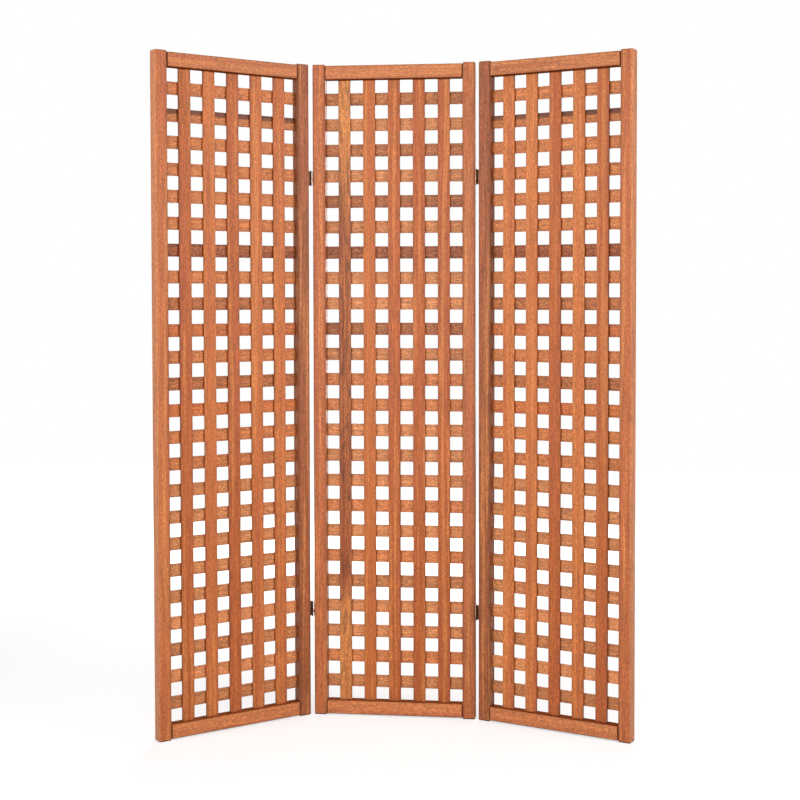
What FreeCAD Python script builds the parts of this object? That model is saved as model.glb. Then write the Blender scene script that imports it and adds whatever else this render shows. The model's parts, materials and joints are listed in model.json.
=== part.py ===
"""Three-panel lattice folding screen with two-way hinges, in millimetres.

The centre panel stands parallel to the XZ plane with its front towards -Y. The wings hang on
two-way hinges: each hinge has a link between two pins, one just in front of the panels and one
just behind them, so that a wing folds forward about the front pin or backward about the back
pin. The solids are built with the screen flat, and the wings are then turned about their front
pins to the fold at which the screen stands. The origin is on the floor, under the middle of the
standing screen's outline.
"""
import FreeCAD
import Part

import math
import os

# Screen
SCREEN_HEIGHT = 1800.0
PANEL_WIDTH = 450.0
PANEL_DEPTH = 32.0
LEFT_FOLD_DEGREES = 42.0
RIGHT_FOLD_DEGREES = 22.0

# Frame of a panel
STILE_WIDTH = 35.0
RAIL_HEIGHT = 38.0
STILE_HORN = 3.5
STILE_ARRIS_RADIUS = 4.0
RAIL_ARRIS_RADIUS = 3.0

# Lattice
UPRIGHT_COUNT = 5
CROSS_COUNT = 24
UPRIGHT_WIDTH = 33.5
CROSS_WIDTH = 34.0
SLAT_THICKNESS = 7.0
SLAT_SETBACK = 10.0
SLAT_ARRIS_RADIUS = 1.0
TENON_LENGTH = 10.0
TENON_SIDE_PLAY = 0.1
TENON_END_PLAY = 0.5

# Dowels
DOWEL_RADIUS = 4.0
DOWEL_LENGTH = 40.0
DOWEL_SPACING = 18.0
DOWEL_CHAMFER = 1.0
DOWEL_SIDE_PLAY = 0.05
DOWEL_END_PLAY = 0.5

# Hinges
HINGE_HEIGHT = 40.0
UPPER_HINGE_DROP = 311.0
LOWER_HINGE_RISE = 297.0
LEAF_THICKNESS = 1.2
LEAF_MARGIN = 2.0
BARREL_RADIUS = 2.0
BARREL_PLAY = 1.3
PIN_RADIUS = 1.0
PIN_PLAY = 0.05
PIN_STAND = 1.0
PIN_HEAD_RADIUS = 1.7
PIN_HEAD_HEIGHT = 1.0
PIN_HEAD_DOME = 0.7
KNUCKLE_PLAY = 0.15
UPPER_KNUCKLE_SHARE = 0.5
LOWER_KNUCKLE_SHARE = 0.25

# Screws
SCREW_HEAD_RADIUS = 3.0
SCREW_SHANK_RADIUS = 1.5
SCREW_LENGTH = 16.0
SCREW_TIP_LENGTH = 4.0
SCREW_TIP_RADIUS = 0.3
SCREW_PLAY = 0.05
PILOT_END_PLAY = 0.5
SLOT_WIDTH = 0.9
SLOT_DEPTH = 0.7
SCREW_PAIR_SPACING = 26.0
SCREW_ROW_SPACING = 12.0

# How far every cutting shape runs past the face that it cuts
OVERRUN = 1.0

# Sizes that follow from the ones above
PANEL_GAP = 2.0 * (LEAF_THICKNESS + BARREL_PLAY + BARREL_RADIUS)
HINGE_LINE_X = PANEL_WIDTH / 2.0 + PANEL_GAP / 2.0
FRONT_PIN_Y = -PIN_STAND
BACK_PIN_Y = PANEL_DEPTH + PIN_STAND
RAIL_LENGTH = PANEL_WIDTH - 2.0 * STILE_WIDTH
INNER_HEIGHT = SCREEN_HEIGHT - 2.0 * (STILE_HORN + RAIL_HEIGHT)
UPRIGHT_HOLE = (RAIL_LENGTH - UPRIGHT_COUNT * UPRIGHT_WIDTH) / (UPRIGHT_COUNT + 1)
CROSS_HOLE = (INNER_HEIGHT - CROSS_COUNT * CROSS_WIDTH) / (CROSS_COUNT + 1)
UPRIGHT_FRONT_Y = SLAT_SETBACK
CROSS_FRONT_Y = UPRIGHT_FRONT_Y + SLAT_THICKNESS
INNER_FOOT_Z = STILE_HORN + RAIL_HEIGHT
INNER_HEAD_Z = SCREEN_HEIGHT - INNER_FOOT_Z

HINGE_HEIGHTS = {"upper": SCREEN_HEIGHT - UPPER_HINGE_DROP, "lower": LOWER_HINGE_RISE}
SIDES = ("left", "right")
FOLDS = {"left": LEFT_FOLD_DEGREES, "right": RIGHT_FOLD_DEGREES}
UP = FreeCAD.Vector(0, 0, 1)


def way_of(side):
    """The way along X from the centre panel to a wing."""
    return -1.0 if side == "left" else 1.0


def block(low, high):
    """A box between its lowest and highest corners."""
    size = [b - a for a, b in zip(low, high)]
    return Part.makeBox(*size, FreeCAD.Vector(*low))


def eased(shape, radius, edges=None):
    """The shape with the given edges, or all of them, rounded."""
    return shape.makeFillet(radius, edges or shape.Edges)


def edges_along(shape, axis):
    """The straight edges of a box that run along one axis: 0 for X, 1 for Y, 2 for Z."""
    chosen = []
    for edge in shape.Edges:
        way = edge.Vertexes[-1].Point - edge.Vertexes[0].Point
        if abs(way[axis]) > way.Length / 2.0:
            chosen.append(edge)
    return chosen


def upright_lefts():
    """The left edge of each upright slat, from the panel's middle."""
    first = -RAIL_LENGTH / 2.0 + UPRIGHT_HOLE
    return [first + n * (UPRIGHT_WIDTH + UPRIGHT_HOLE) for n in range(UPRIGHT_COUNT)]


def cross_feet():
    """The lower edge of each cross slat, from the floor."""
    first = INNER_FOOT_Z + CROSS_HOLE
    return [first + n * (CROSS_WIDTH + CROSS_HOLE) for n in range(CROSS_COUNT)]


def stile_blank():
    """A stile about x = 0, with every edge rounded."""
    low = (-STILE_WIDTH / 2.0, 0, 0)
    high = (STILE_WIDTH / 2.0, PANEL_DEPTH, SCREEN_HEIGHT)
    return eased(block(low, high), STILE_ARRIS_RADIUS)


def cross_mortises(hand):
    """The pockets for the cross slats' ends in a stile whose inner face looks along hand * X."""
    face = hand * STILE_WIDTH / 2.0
    pocket_end = face - hand * TENON_LENGTH
    mouth = face + hand * OVERRUN
    front = CROSS_FRONT_Y - TENON_SIDE_PLAY
    back = CROSS_FRONT_Y + SLAT_THICKNESS + TENON_SIDE_PLAY
    pockets = []
    for foot in cross_feet():
        low = (min(pocket_end, mouth), front, foot - TENON_SIDE_PLAY)
        high = (max(pocket_end, mouth), back, foot + CROSS_WIDTH + TENON_SIDE_PLAY)
        pockets.append(block(low, high))
    return pockets


def dowel_heights():
    """The heights of the dowels, two in each rail."""
    rail_middles = [STILE_HORN + RAIL_HEIGHT / 2.0, SCREEN_HEIGHT - STILE_HORN - RAIL_HEIGHT / 2.0]
    return [middle + way * DOWEL_SPACING / 2.0 for middle in rail_middles for way in (-1, 1)]


def dowel_bores(joint_x, heights):
    """The bores across a joint face at joint_x, at each height."""
    reach = DOWEL_LENGTH / 2.0 + DOWEL_END_PLAY
    radius = DOWEL_RADIUS + DOWEL_SIDE_PLAY
    along_x = FreeCAD.Vector(1, 0, 0)
    return [
        Part.makeCylinder(
            radius, 2.0 * reach, FreeCAD.Vector(joint_x - reach, PANEL_DEPTH / 2.0, z), along_x
        )
        for z in heights
    ]


def dowel(joint_x, z):
    """A dowel with chamfered ends, half of it on each side of the joint face."""
    start = FreeCAD.Vector(joint_x - DOWEL_LENGTH / 2.0, PANEL_DEPTH / 2.0, z)
    rod = Part.makeCylinder(DOWEL_RADIUS, DOWEL_LENGTH, start, FreeCAD.Vector(1, 0, 0))
    rims = [edge for edge in rod.Edges if edge.isClosed() and len(edge.Vertexes) == 1]
    return rod.makeChamfer(DOWEL_CHAMFER, rims)


def screw_places():
    """Where a panel leaf's screws go: depth from the front, and height from the hinge's middle."""
    front_row = PANEL_DEPTH / 2.0 - SCREW_ROW_SPACING / 2.0
    back_row = PANEL_DEPTH / 2.0 + SCREW_ROW_SPACING / 2.0
    pair = SCREW_PAIR_SPACING / 2.0
    return [(front_row, pair), (front_row, -pair), (back_row, 0)]


def wing_screw_places():
    """The same for a wing leaf, which is a panel leaf turned half round."""
    return [(PANEL_DEPTH - y, z) for y, z in screw_places()]


def pilot_holes(hand, places):
    """Pilot holes at both hinges, in a stile whose hinge face looks along hand * X."""
    start_x = hand * (STILE_WIDTH / 2.0 + OVERRUN)
    length = OVERRUN + SCREW_LENGTH - LEAF_THICKNESS + PILOT_END_PLAY
    radius = SCREW_SHANK_RADIUS + SCREW_PLAY
    inward = FreeCAD.Vector(-hand, 0, 0)
    return [
        Part.makeCylinder(radius, length, FreeCAD.Vector(start_x, y, height + z), inward)
        for height in HINGE_HEIGHTS.values()
        for y, z in places
    ]


def stile(hand, screws):
    """A stile in its place in a panel, with pilot holes at the given screws.

    hand is -1 for the panel's left stile and 1 for its right.
    """
    cutters = cross_mortises(-hand) + dowel_bores(-hand * STILE_WIDTH / 2.0, dowel_heights())
    cutters += pilot_holes(hand, screws)
    made = stile_blank().cut(Part.makeCompound(cutters))
    made.translate(FreeCAD.Vector(hand * (PANEL_WIDTH - STILE_WIDTH) / 2.0, 0, 0))
    return made


def rail(foot_z, slat_face_z):
    """A rail between the stiles, with a pocket for each upright slat in its slat face."""
    low = (-RAIL_LENGTH / 2.0, 0, foot_z)
    high = (RAIL_LENGTH / 2.0, PANEL_DEPTH, foot_z + RAIL_HEIGHT)
    made = eased(block(low, high), RAIL_ARRIS_RADIUS)
    inward = 1.0 if slat_face_z == foot_z else -1.0
    pocket_end = slat_face_z + inward * TENON_LENGTH
    mouth = slat_face_z - inward * OVERRUN
    cutters = []
    for left in upright_lefts():
        pocket_low = (
            left - TENON_SIDE_PLAY,
            UPRIGHT_FRONT_Y - TENON_SIDE_PLAY,
            min(pocket_end, mouth),
        )
        pocket_high = (
            left + UPRIGHT_WIDTH + TENON_SIDE_PLAY,
            UPRIGHT_FRONT_Y + SLAT_THICKNESS + TENON_SIDE_PLAY,
            max(pocket_end, mouth),
        )
        cutters.append(block(pocket_low, pocket_high))
    heights = [z for z in dowel_heights() if foot_z < z < foot_z + RAIL_HEIGHT]
    for joint_x in (-RAIL_LENGTH / 2.0, RAIL_LENGTH / 2.0):
        cutters += dowel_bores(joint_x, heights)
    return made.cut(Part.makeCompound(cutters))


def upright_slat(left):
    """A front slat, with both ends in the rails."""
    reach = TENON_LENGTH - TENON_END_PLAY
    low = (left, UPRIGHT_FRONT_Y, INNER_FOOT_Z - reach)
    high = (left + UPRIGHT_WIDTH, UPRIGHT_FRONT_Y + SLAT_THICKNESS, INNER_HEAD_Z + reach)
    blank = block(low, high)
    return eased(blank, SLAT_ARRIS_RADIUS, edges_along(blank, 2))


def cross_slat(foot):
    """A back slat, with both ends in the stiles."""
    reach = RAIL_LENGTH / 2.0 + TENON_LENGTH - TENON_END_PLAY
    low = (-reach, CROSS_FRONT_Y, foot)
    high = (reach, CROSS_FRONT_Y + SLAT_THICKNESS, foot + CROSS_WIDTH)
    blank = block(low, high)
    return eased(blank, SLAT_ARRIS_RADIUS, edges_along(blank, 0))


def panel_pieces(stiles):
    """A panel's pieces about x = 0. stiles gives each stile's name, hand and hinge screws."""
    pieces = {name: stile(hand, screws) for name, hand, screws in stiles}
    pieces["bottom_rail"] = rail(STILE_HORN, INNER_FOOT_Z)
    pieces["top_rail"] = rail(INNER_HEAD_Z, INNER_HEAD_Z)
    for number, left in enumerate(upright_lefts(), start=1):
        pieces[f"upright_slat_{number}"] = upright_slat(left)
    pieces["cross_slats"] = Part.makeCompound([cross_slat(foot) for foot in cross_feet()])
    joints = (-RAIL_LENGTH / 2.0, RAIL_LENGTH / 2.0)
    pieces["rail_dowels"] = Part.makeCompound([dowel(x, z) for x in joints for z in dowel_heights()])
    return pieces


def knuckle_heights():
    """The hinge's four knuckle borders, from its middle: foot, leaf's foot, leaf's head, head."""
    foot = -HINGE_HEIGHT / 2.0
    head = HINGE_HEIGHT / 2.0
    return (
        foot,
        foot + LOWER_KNUCKLE_SHARE * HINGE_HEIGHT,
        head - UPPER_KNUCKLE_SHARE * HINGE_HEIGHT,
        head,
    )


def barrel(pin_y, foot, head, radius=BARREL_RADIUS):
    """A round bar on one of the two pin lines."""
    return Part.makeCylinder(radius, head - foot, FreeCAD.Vector(0, pin_y, foot), UP)


def pin_bore(pin_y):
    """What both knuckles are bored with for a pin."""
    foot, _, _, head = knuckle_heights()
    return barrel(pin_y, foot - OVERRUN, head + OVERRUN, PIN_RADIUS + PIN_PLAY)


def screw_at(y, z, face_x, inward):
    """A countersunk slotted screw whose head is flush with the leaf's face at face_x."""
    way = FreeCAD.Vector(inward, 0, 0)
    top = FreeCAD.Vector(face_x, y, z)
    shank_length = SCREW_LENGTH - LEAF_THICKNESS - SCREW_TIP_LENGTH
    head = Part.makeCone(SCREW_HEAD_RADIUS, SCREW_SHANK_RADIUS, LEAF_THICKNESS, top, way)
    shank_top = top + way * LEAF_THICKNESS
    shank = Part.makeCylinder(SCREW_SHANK_RADIUS, shank_length, shank_top, way)
    tip_top = shank_top + way * shank_length
    tip = Part.makeCone(SCREW_SHANK_RADIUS, SCREW_TIP_RADIUS, SCREW_TIP_LENGTH, tip_top, way)
    slot_ends = sorted((face_x - inward * OVERRUN, face_x + inward * SLOT_DEPTH))
    slot_low = (slot_ends[0], y - SLOT_WIDTH / 2.0, z - SCREW_HEAD_RADIUS - OVERRUN)
    slot_high = (slot_ends[1], y + SLOT_WIDTH / 2.0, z + SCREW_HEAD_RADIUS + OVERRUN)
    return head.fuse([shank, tip]).removeSplitter().cut(block(slot_low, slot_high))


def countersink(y, z, face_x, inward):
    """The hole that a screw sits in, through a leaf."""
    way = FreeCAD.Vector(inward, 0, 0)
    top = FreeCAD.Vector(face_x, y, z)
    wide = SCREW_HEAD_RADIUS + SCREW_PLAY
    narrow = SCREW_SHANK_RADIUS + SCREW_PLAY
    return Part.makeCone(wide, narrow, LEAF_THICKNESS, top, way)


def panel_leaf():
    """The leaf on the centre panel's edge, with its knuckle on the front pin.

    It is drawn for the right-hand junction, where the centre panel lies towards -X.
    """
    foot, knuckle_foot, knuckle_head, head = knuckle_heights()
    edge_x = -PANEL_GAP / 2.0
    face_x = edge_x + LEAF_THICKNESS
    plate = block((edge_x, LEAF_MARGIN, foot), (face_x, PANEL_DEPTH - LEAF_MARGIN, head))
    for y, z in screw_places():
        plate = plate.cut(countersink(y, z, face_x, -1.0))
    low_z = knuckle_foot + KNUCKLE_PLAY
    high_z = knuckle_head - KNUCKLE_PLAY
    web_front = FRONT_PIN_Y - LEAF_THICKNESS / 2.0
    web_back = FRONT_PIN_Y + LEAF_THICKNESS / 2.0
    neck = block((edge_x, web_front, low_z), (face_x, LEAF_MARGIN, high_z))
    web = block((edge_x, web_front, low_z), (0, web_back, high_z))
    knuckle = barrel(FRONT_PIN_Y, low_z, high_z)
    joined = plate.fuse([neck, web, knuckle]).removeSplitter()
    return joined.cut(pin_bore(FRONT_PIN_Y))


def half_turn(shape):
    """The shape turned half round about the upright line through the middle of the hinge."""
    made = shape.copy()
    made.rotate(FreeCAD.Vector(0, PANEL_DEPTH / 2.0, 0), UP, 180)
    return made


def hinge_link():
    """The plate between the two pins, with two knuckles on each and a notch for each leaf's."""
    foot, knuckle_foot, knuckle_head, head = knuckle_heights()
    half = LEAF_THICKNESS / 2.0
    made = block((-half, FRONT_PIN_Y, foot), (half, BACK_PIN_Y, head))
    reach = BARREL_RADIUS + BARREL_PLAY
    notches = [
        block(
            (-half - OVERRUN, pin_y - reach, knuckle_foot),
            (half + OVERRUN, pin_y + reach, knuckle_head),
        )
        for pin_y in (FRONT_PIN_Y, BACK_PIN_Y)
    ]
    made = made.cut(Part.makeCompound(notches))
    knuckles = [
        barrel(pin_y, low, high)
        for pin_y in (FRONT_PIN_Y, BACK_PIN_Y)
        for low, high in ((foot, knuckle_foot), (knuckle_head, head))
    ]
    made = made.fuse(knuckles).removeSplitter()
    bores = [pin_bore(FRONT_PIN_Y), pin_bore(BACK_PIN_Y)]
    return made.cut(Part.makeCompound(bores))


def hinge_pin(pin_y):
    """A pin with a low domed head on each end."""
    foot, _, _, head = knuckle_heights()
    made = barrel(pin_y, foot, head, PIN_RADIUS)
    for base, outer in ((head, head + PIN_HEAD_HEIGHT), (foot, foot - PIN_HEAD_HEIGHT)):
        disc = barrel(pin_y, min(base, outer), max(base, outer), PIN_HEAD_RADIUS)
        rims = [edge for edge in disc.Edges if abs(edge.CenterOfMass.z - outer) < PIN_HEAD_DOME / 2.0]
        made = made.fuse(disc.makeFillet(PIN_HEAD_DOME, rims))
    return made.removeSplitter()


def hinge_pieces():
    """One hinge's pieces, drawn for the right-hand junction about its middle height."""
    face_x = -PANEL_GAP / 2.0 + LEAF_THICKNESS
    screws = [screw_at(y, z, face_x, -1.0) for y, z in screw_places()]
    return {
        "panel_leaf": panel_leaf(),
        "wing_leaf": half_turn(panel_leaf()),
        "link": hinge_link(),
        "front_pin": hinge_pin(FRONT_PIN_Y),
        "back_pin": hinge_pin(BACK_PIN_Y),
        "panel_screws": Part.makeCompound(screws),
        "wing_screws": half_turn(Part.makeCompound(screws)),
    }


def folded(shape, side):
    """The shape turned forward about a junction's front pin, from flat to the standing fold."""
    made = shape.copy()
    line = FreeCAD.Vector(way_of(side) * HINGE_LINE_X, FRONT_PIN_Y, 0)
    made.rotate(line, UP, -way_of(side) * FOLDS[side])
    return made


def folded_point(x, y, side):
    """Where the fold takes a point of the flat plan."""
    line_x = way_of(side) * HINGE_LINE_X
    turn = math.radians(-way_of(side) * FOLDS[side])
    dx = x - line_x
    dy = y - FRONT_PIN_Y
    return (
        line_x + dx * math.cos(turn) - dy * math.sin(turn),
        FRONT_PIN_Y + dx * math.sin(turn) + dy * math.cos(turn),
    )


def plan_circles():
    """The rounded corners of the standing screen's plan, each a centre and a radius."""
    near = STILE_ARRIS_RADIUS
    ends = (-PANEL_WIDTH / 2.0 + near, PANEL_WIDTH / 2.0 - near)
    depths = (near, PANEL_DEPTH - near)
    circles = [((x, y), near) for x in ends for y in depths]
    for side in SIDES:
        way = way_of(side)
        for x in ends:
            for y in depths:
                flat_x = way * (PANEL_WIDTH + PANEL_GAP) + x
                circles.append((folded_point(flat_x, y, side), near))
        for pin_y in (FRONT_PIN_Y, BACK_PIN_Y):
            circles.append((folded_point(way * HINGE_LINE_X, pin_y, side), BARREL_RADIUS))
    return circles


def origin_point():
    """The point of the flat drawing's frame that becomes the origin."""
    circles = plan_circles()
    middles = []
    for axis in (0, 1):
        low = min(centre[axis] - radius for centre, radius in circles)
        high = max(centre[axis] + radius for centre, radius in circles)
        middles.append((low + high) / 2.0)
    return FreeCAD.Vector(middles[0], middles[1], 0)


def wing_nodes(side):
    """A wing's wooden pieces in their standing place, by node name."""
    way = way_of(side)
    stiles = [("hinge_stile", -way, wing_screw_places()), ("free_stile", way, [])]
    nodes = {}
    for name, shape in panel_pieces(stiles).items():
        shape.translate(FreeCAD.Vector(way * (PANEL_WIDTH + PANEL_GAP), 0, 0))
        nodes[f"{side}_wing_{name}"] = folded(shape, side)
    return nodes


def hinge_nodes(side):
    """The pieces of a junction's two hinges in their standing place, and its screws by body."""
    way = way_of(side)
    nodes = {}
    screws = {"panel_screws": [], "wing_screws": []}
    drawn = hinge_pieces()
    for level, height in HINGE_HEIGHTS.items():
        for name, right_hand_shape in drawn.items():
            shape = right_hand_shape.copy()
            if way < 0:
                shape = shape.mirror(FreeCAD.Vector(0, 0, 0), FreeCAD.Vector(1, 0, 0))
            shape.translate(FreeCAD.Vector(way * HINGE_LINE_X, 0, height))
            if name not in ("panel_leaf", "panel_screws"):
                shape = folded(shape, side)
            if name in screws:
                screws[name] += shape.Solids
            else:
                nodes[f"{level}_{side}_hinge_{name}"] = shape
    return nodes, screws


def all_nodes():
    """Every node's shape, in the row's own frame."""
    stiles = [(f"{side}_stile", way_of(side), screw_places()) for side in SIDES]
    nodes = {}
    for name, shape in panel_pieces(stiles).items():
        nodes[f"centre_panel_{name}"] = shape
    centre_screws = []
    for side in SIDES:
        nodes.update(wing_nodes(side))
        pieces, screws = hinge_nodes(side)
        nodes.update(pieces)
        centre_screws += screws["panel_screws"]
        nodes[f"{side}_wing_hinge_screws"] = Part.makeCompound(screws["wing_screws"])
    nodes["centre_panel_hinge_screws"] = Part.makeCompound(centre_screws)
    shift = -origin_point()
    for shape in nodes.values():
        shape.translate(shift)
    return nodes


def main():
    os.makedirs("parts", exist_ok=True)
    for name, shape in all_nodes().items():
        shape.exportStep(f"parts/{name}.step")


if __name__ == "__main__":
    main()
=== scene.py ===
"""Finishes, hinges and stage of a three-panel lattice folding screen, laid out as an add-on.

The screen stands on the floor with its front towards -Y. Every board takes its wood from one
grain pattern, which is turned and centred on the board, so that the grain runs along it. The
hinge parts are eased copies of the plain solids, with worn metal on their edges.
"""

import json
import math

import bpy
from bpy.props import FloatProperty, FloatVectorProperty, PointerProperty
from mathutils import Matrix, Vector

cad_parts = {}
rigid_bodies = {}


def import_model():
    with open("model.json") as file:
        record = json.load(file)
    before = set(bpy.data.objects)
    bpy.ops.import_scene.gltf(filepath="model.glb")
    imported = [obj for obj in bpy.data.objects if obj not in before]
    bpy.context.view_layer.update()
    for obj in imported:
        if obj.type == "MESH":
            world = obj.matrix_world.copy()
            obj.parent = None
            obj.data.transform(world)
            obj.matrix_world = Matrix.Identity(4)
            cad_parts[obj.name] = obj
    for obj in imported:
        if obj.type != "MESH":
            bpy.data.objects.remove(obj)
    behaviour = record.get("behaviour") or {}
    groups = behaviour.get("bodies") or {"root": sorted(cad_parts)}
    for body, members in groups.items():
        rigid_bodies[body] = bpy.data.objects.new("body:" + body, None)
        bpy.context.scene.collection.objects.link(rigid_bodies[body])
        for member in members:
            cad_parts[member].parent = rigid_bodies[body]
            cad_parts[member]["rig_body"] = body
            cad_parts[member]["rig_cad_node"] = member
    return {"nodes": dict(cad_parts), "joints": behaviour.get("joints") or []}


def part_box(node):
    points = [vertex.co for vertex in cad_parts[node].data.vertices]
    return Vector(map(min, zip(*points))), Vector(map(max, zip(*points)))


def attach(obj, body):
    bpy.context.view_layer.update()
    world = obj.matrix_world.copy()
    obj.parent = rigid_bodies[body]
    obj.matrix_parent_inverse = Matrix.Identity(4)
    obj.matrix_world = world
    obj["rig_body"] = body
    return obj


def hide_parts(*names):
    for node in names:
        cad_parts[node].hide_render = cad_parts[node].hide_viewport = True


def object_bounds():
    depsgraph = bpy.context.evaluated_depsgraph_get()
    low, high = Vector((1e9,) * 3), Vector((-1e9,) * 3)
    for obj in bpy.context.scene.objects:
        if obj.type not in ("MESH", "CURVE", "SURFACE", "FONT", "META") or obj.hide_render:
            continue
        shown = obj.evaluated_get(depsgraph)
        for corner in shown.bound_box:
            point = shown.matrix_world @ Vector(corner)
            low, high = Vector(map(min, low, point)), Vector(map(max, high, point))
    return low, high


bl_info = {
    "name": "Lattice folding screen",
    "version": (1, 0, 0),
    "blender": (4, 5, 0),
    "location": "View3D > Sidebar > Folding screen",
    "description": "Dresses the screen's boards and hinges, and sets up its stage",
    "category": "Object",
}

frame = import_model()
CAD_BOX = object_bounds()

PANELS = ("left_wing", "centre_panel", "right_wing")
UPRIGHT_SLATS = 5
CROSS_SLATS = 24
CROSS_SLAT_HEIGHT = 0.034

# Grain pattern: how long and how wide each kind of mark is on a board, in metres
STREAK_SIZE = (0.60, 0.011)
RIBBON_SIZE = (0.20, 0.0055)
LINE_SIZE = (0.07, 0.0018)
FLECK_SIZE = (0.0075, 0.0032)
PORE_SIZE = (0.006, 0.0005)
FIGURE_SIZE = (0.30, 0.045)
SWAY_SIZE = (0.35, 0.08)
SWAY_WIDTH = 0.012
FIGURE_RINGS = 9.0

# How far along, across and through the pattern one piece number moves a board
PIECE_SHIFT = (1.37, 0.61, 0.83)

# Between which levels of their noise the marks fade in, and how much they darken, roughen or raise
GOLDEN_LEVELS = (0.50, 0.64)
REDDISH_LEVELS = (0.50, 0.36)
PORE_LEVELS = (0.56, 0.68)
RING_LEVELS = (0.2, 1.0)
PORE_SHADE = 0.30
PORE_ROUGHNESS = 0.20
LINE_ROUGHNESS = 0.25
LINE_RELIEF = 0.6
FLECK_RELIEF = 0.4

# Bands along a board's edges, in metres: painted shade along its open edges, and painted sheen on the
# screen's outer sides
EDGE_BAND = 0.011
SHEEN_BAND = 0.004

# Painted shade in corners and joints, where neighbouring faces shut off the light: how far away a
# neighbouring face still counts, and how much of the open air must be shut off before the wood darkens and
# when it is darkest
CORNER_REACH = 0.010
CORNER_OPEN = 0.80
CORNER_SHUT = 0.34
CORNER_SAMPLES = 8

# Between which shares of painted shade and dark joint lines a corner turns to its darkest colour,
# and from which share on it no longer shines
PIT_SHARES = (0.6, 0.95)
DULL_SHARE = 0.6

# Dark joint lines where a rail meets a stile, partly painted shadow; painted shade along a rail's lip towards
# the lattice;
# and a painted shadow of the top rail on the uprights just under it: how far from the rail's end or lip each
# begins and is darkest, and how dark the lip is
RAIL_JOINT = 0.0028
RAIL_JOINT_CORE = RAIL_JOINT / 3.0
RAIL_LIP = 0.0016
RAIL_LIP_CORE = 0.0002
LIP_SHADE = 0.72
UNDER_RAIL = 0.0060

# Heartwood in the deepest upright, by the height and the way across from the board's middle, in
# metres: it fades in below the board's top, stops short of its foot and is deepest on the left
HEART_TOP = (0.80, 0.36)
HEART_FOOT = (-0.62, -0.50)
HEART_ACROSS = (0.013, -0.005)
HEART_RIGHT_SHARE = 0.75

# How deep the wood of a board is, from 0 for the deepest to 1 for the palest
DEEP = 0.0
DARK = 0.12
DUSKY = 0.22
DIM = 0.4
PLAIN = 0.5
LIGHT = 0.75
PALE = 1.0

# Boards that differ from their neighbours, counted from the left or from the top
UPRIGHT_TONES = {
    "left_wing": {DUSKY: (1, 3)},
    "centre_panel": {DEEP: (1,), DUSKY: (3, 4, 5)},
    "right_wing": {DUSKY: (3, 5), LIGHT: (1, 2, 4)},
}
ROW_TONES = {
    "left_wing": {DEEP: (7,), DUSKY: (9, 12), DIM: (2, 10, 15, 22, 24), PALE: (21, 23)},
    "centre_panel": {
        DEEP: (7,), DARK: (5, 10), DUSKY: (1, 3), DIM: (6, 11, 20), LIGHT: (9, 14, 16, 17, 18, 19, 21, 22, 23)
    },
    "right_wing": {DEEP: (7,), DUSKY: (9, 12), DIM: (2, 10, 15, 22, 24), PALE: (21, 23)},
}
REDDISH_ROWS = {"left_wing": (7, 10, 13), "centre_panel": (12, 13, 17, 19, 23), "right_wing": (7, 10, 13)}
BANDED_ROWS = {"left_wing": (2,), "centre_panel": (), "right_wing": (2,)}
BAND_START = 0.0005
BAND_END = 0.005

# The wings' lowest cross slats, as pale as those of the centre panel
PALER_LOW_SLATS = 9

# Sockets of the Mix node for colours
MIX_SHARE = 0
MIX_FIRST = 6
MIX_SECOND = 7
MIX_RESULT = 2

NODE_SPACING = 180.0
GRAIN_NAME = "Screen hardwood"
WHITE = (1.0, 1.0, 1.0, 1.0)

# How many finer layers a noise has on top of its first one, and the middle of its values
COARSE = 1.0
MIDDLING = 2.0
FINE = 3.0
NOISE_MIDDLE = 0.5


def colour_property(name, description, default):
    return FloatVectorProperty(
        name=name, description=description, subtype="COLOR", size=3, min=0.0, max=1.0, default=default
    )


def share_property(name, description, default):
    return FloatProperty(
        name=name, description=description, subtype="FACTOR", min=0.0, max=1.0, default=default
    )


def power_property(name, description, default):
    return FloatProperty(name=name, description=description, unit="POWER", min=0.0, default=default)


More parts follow.
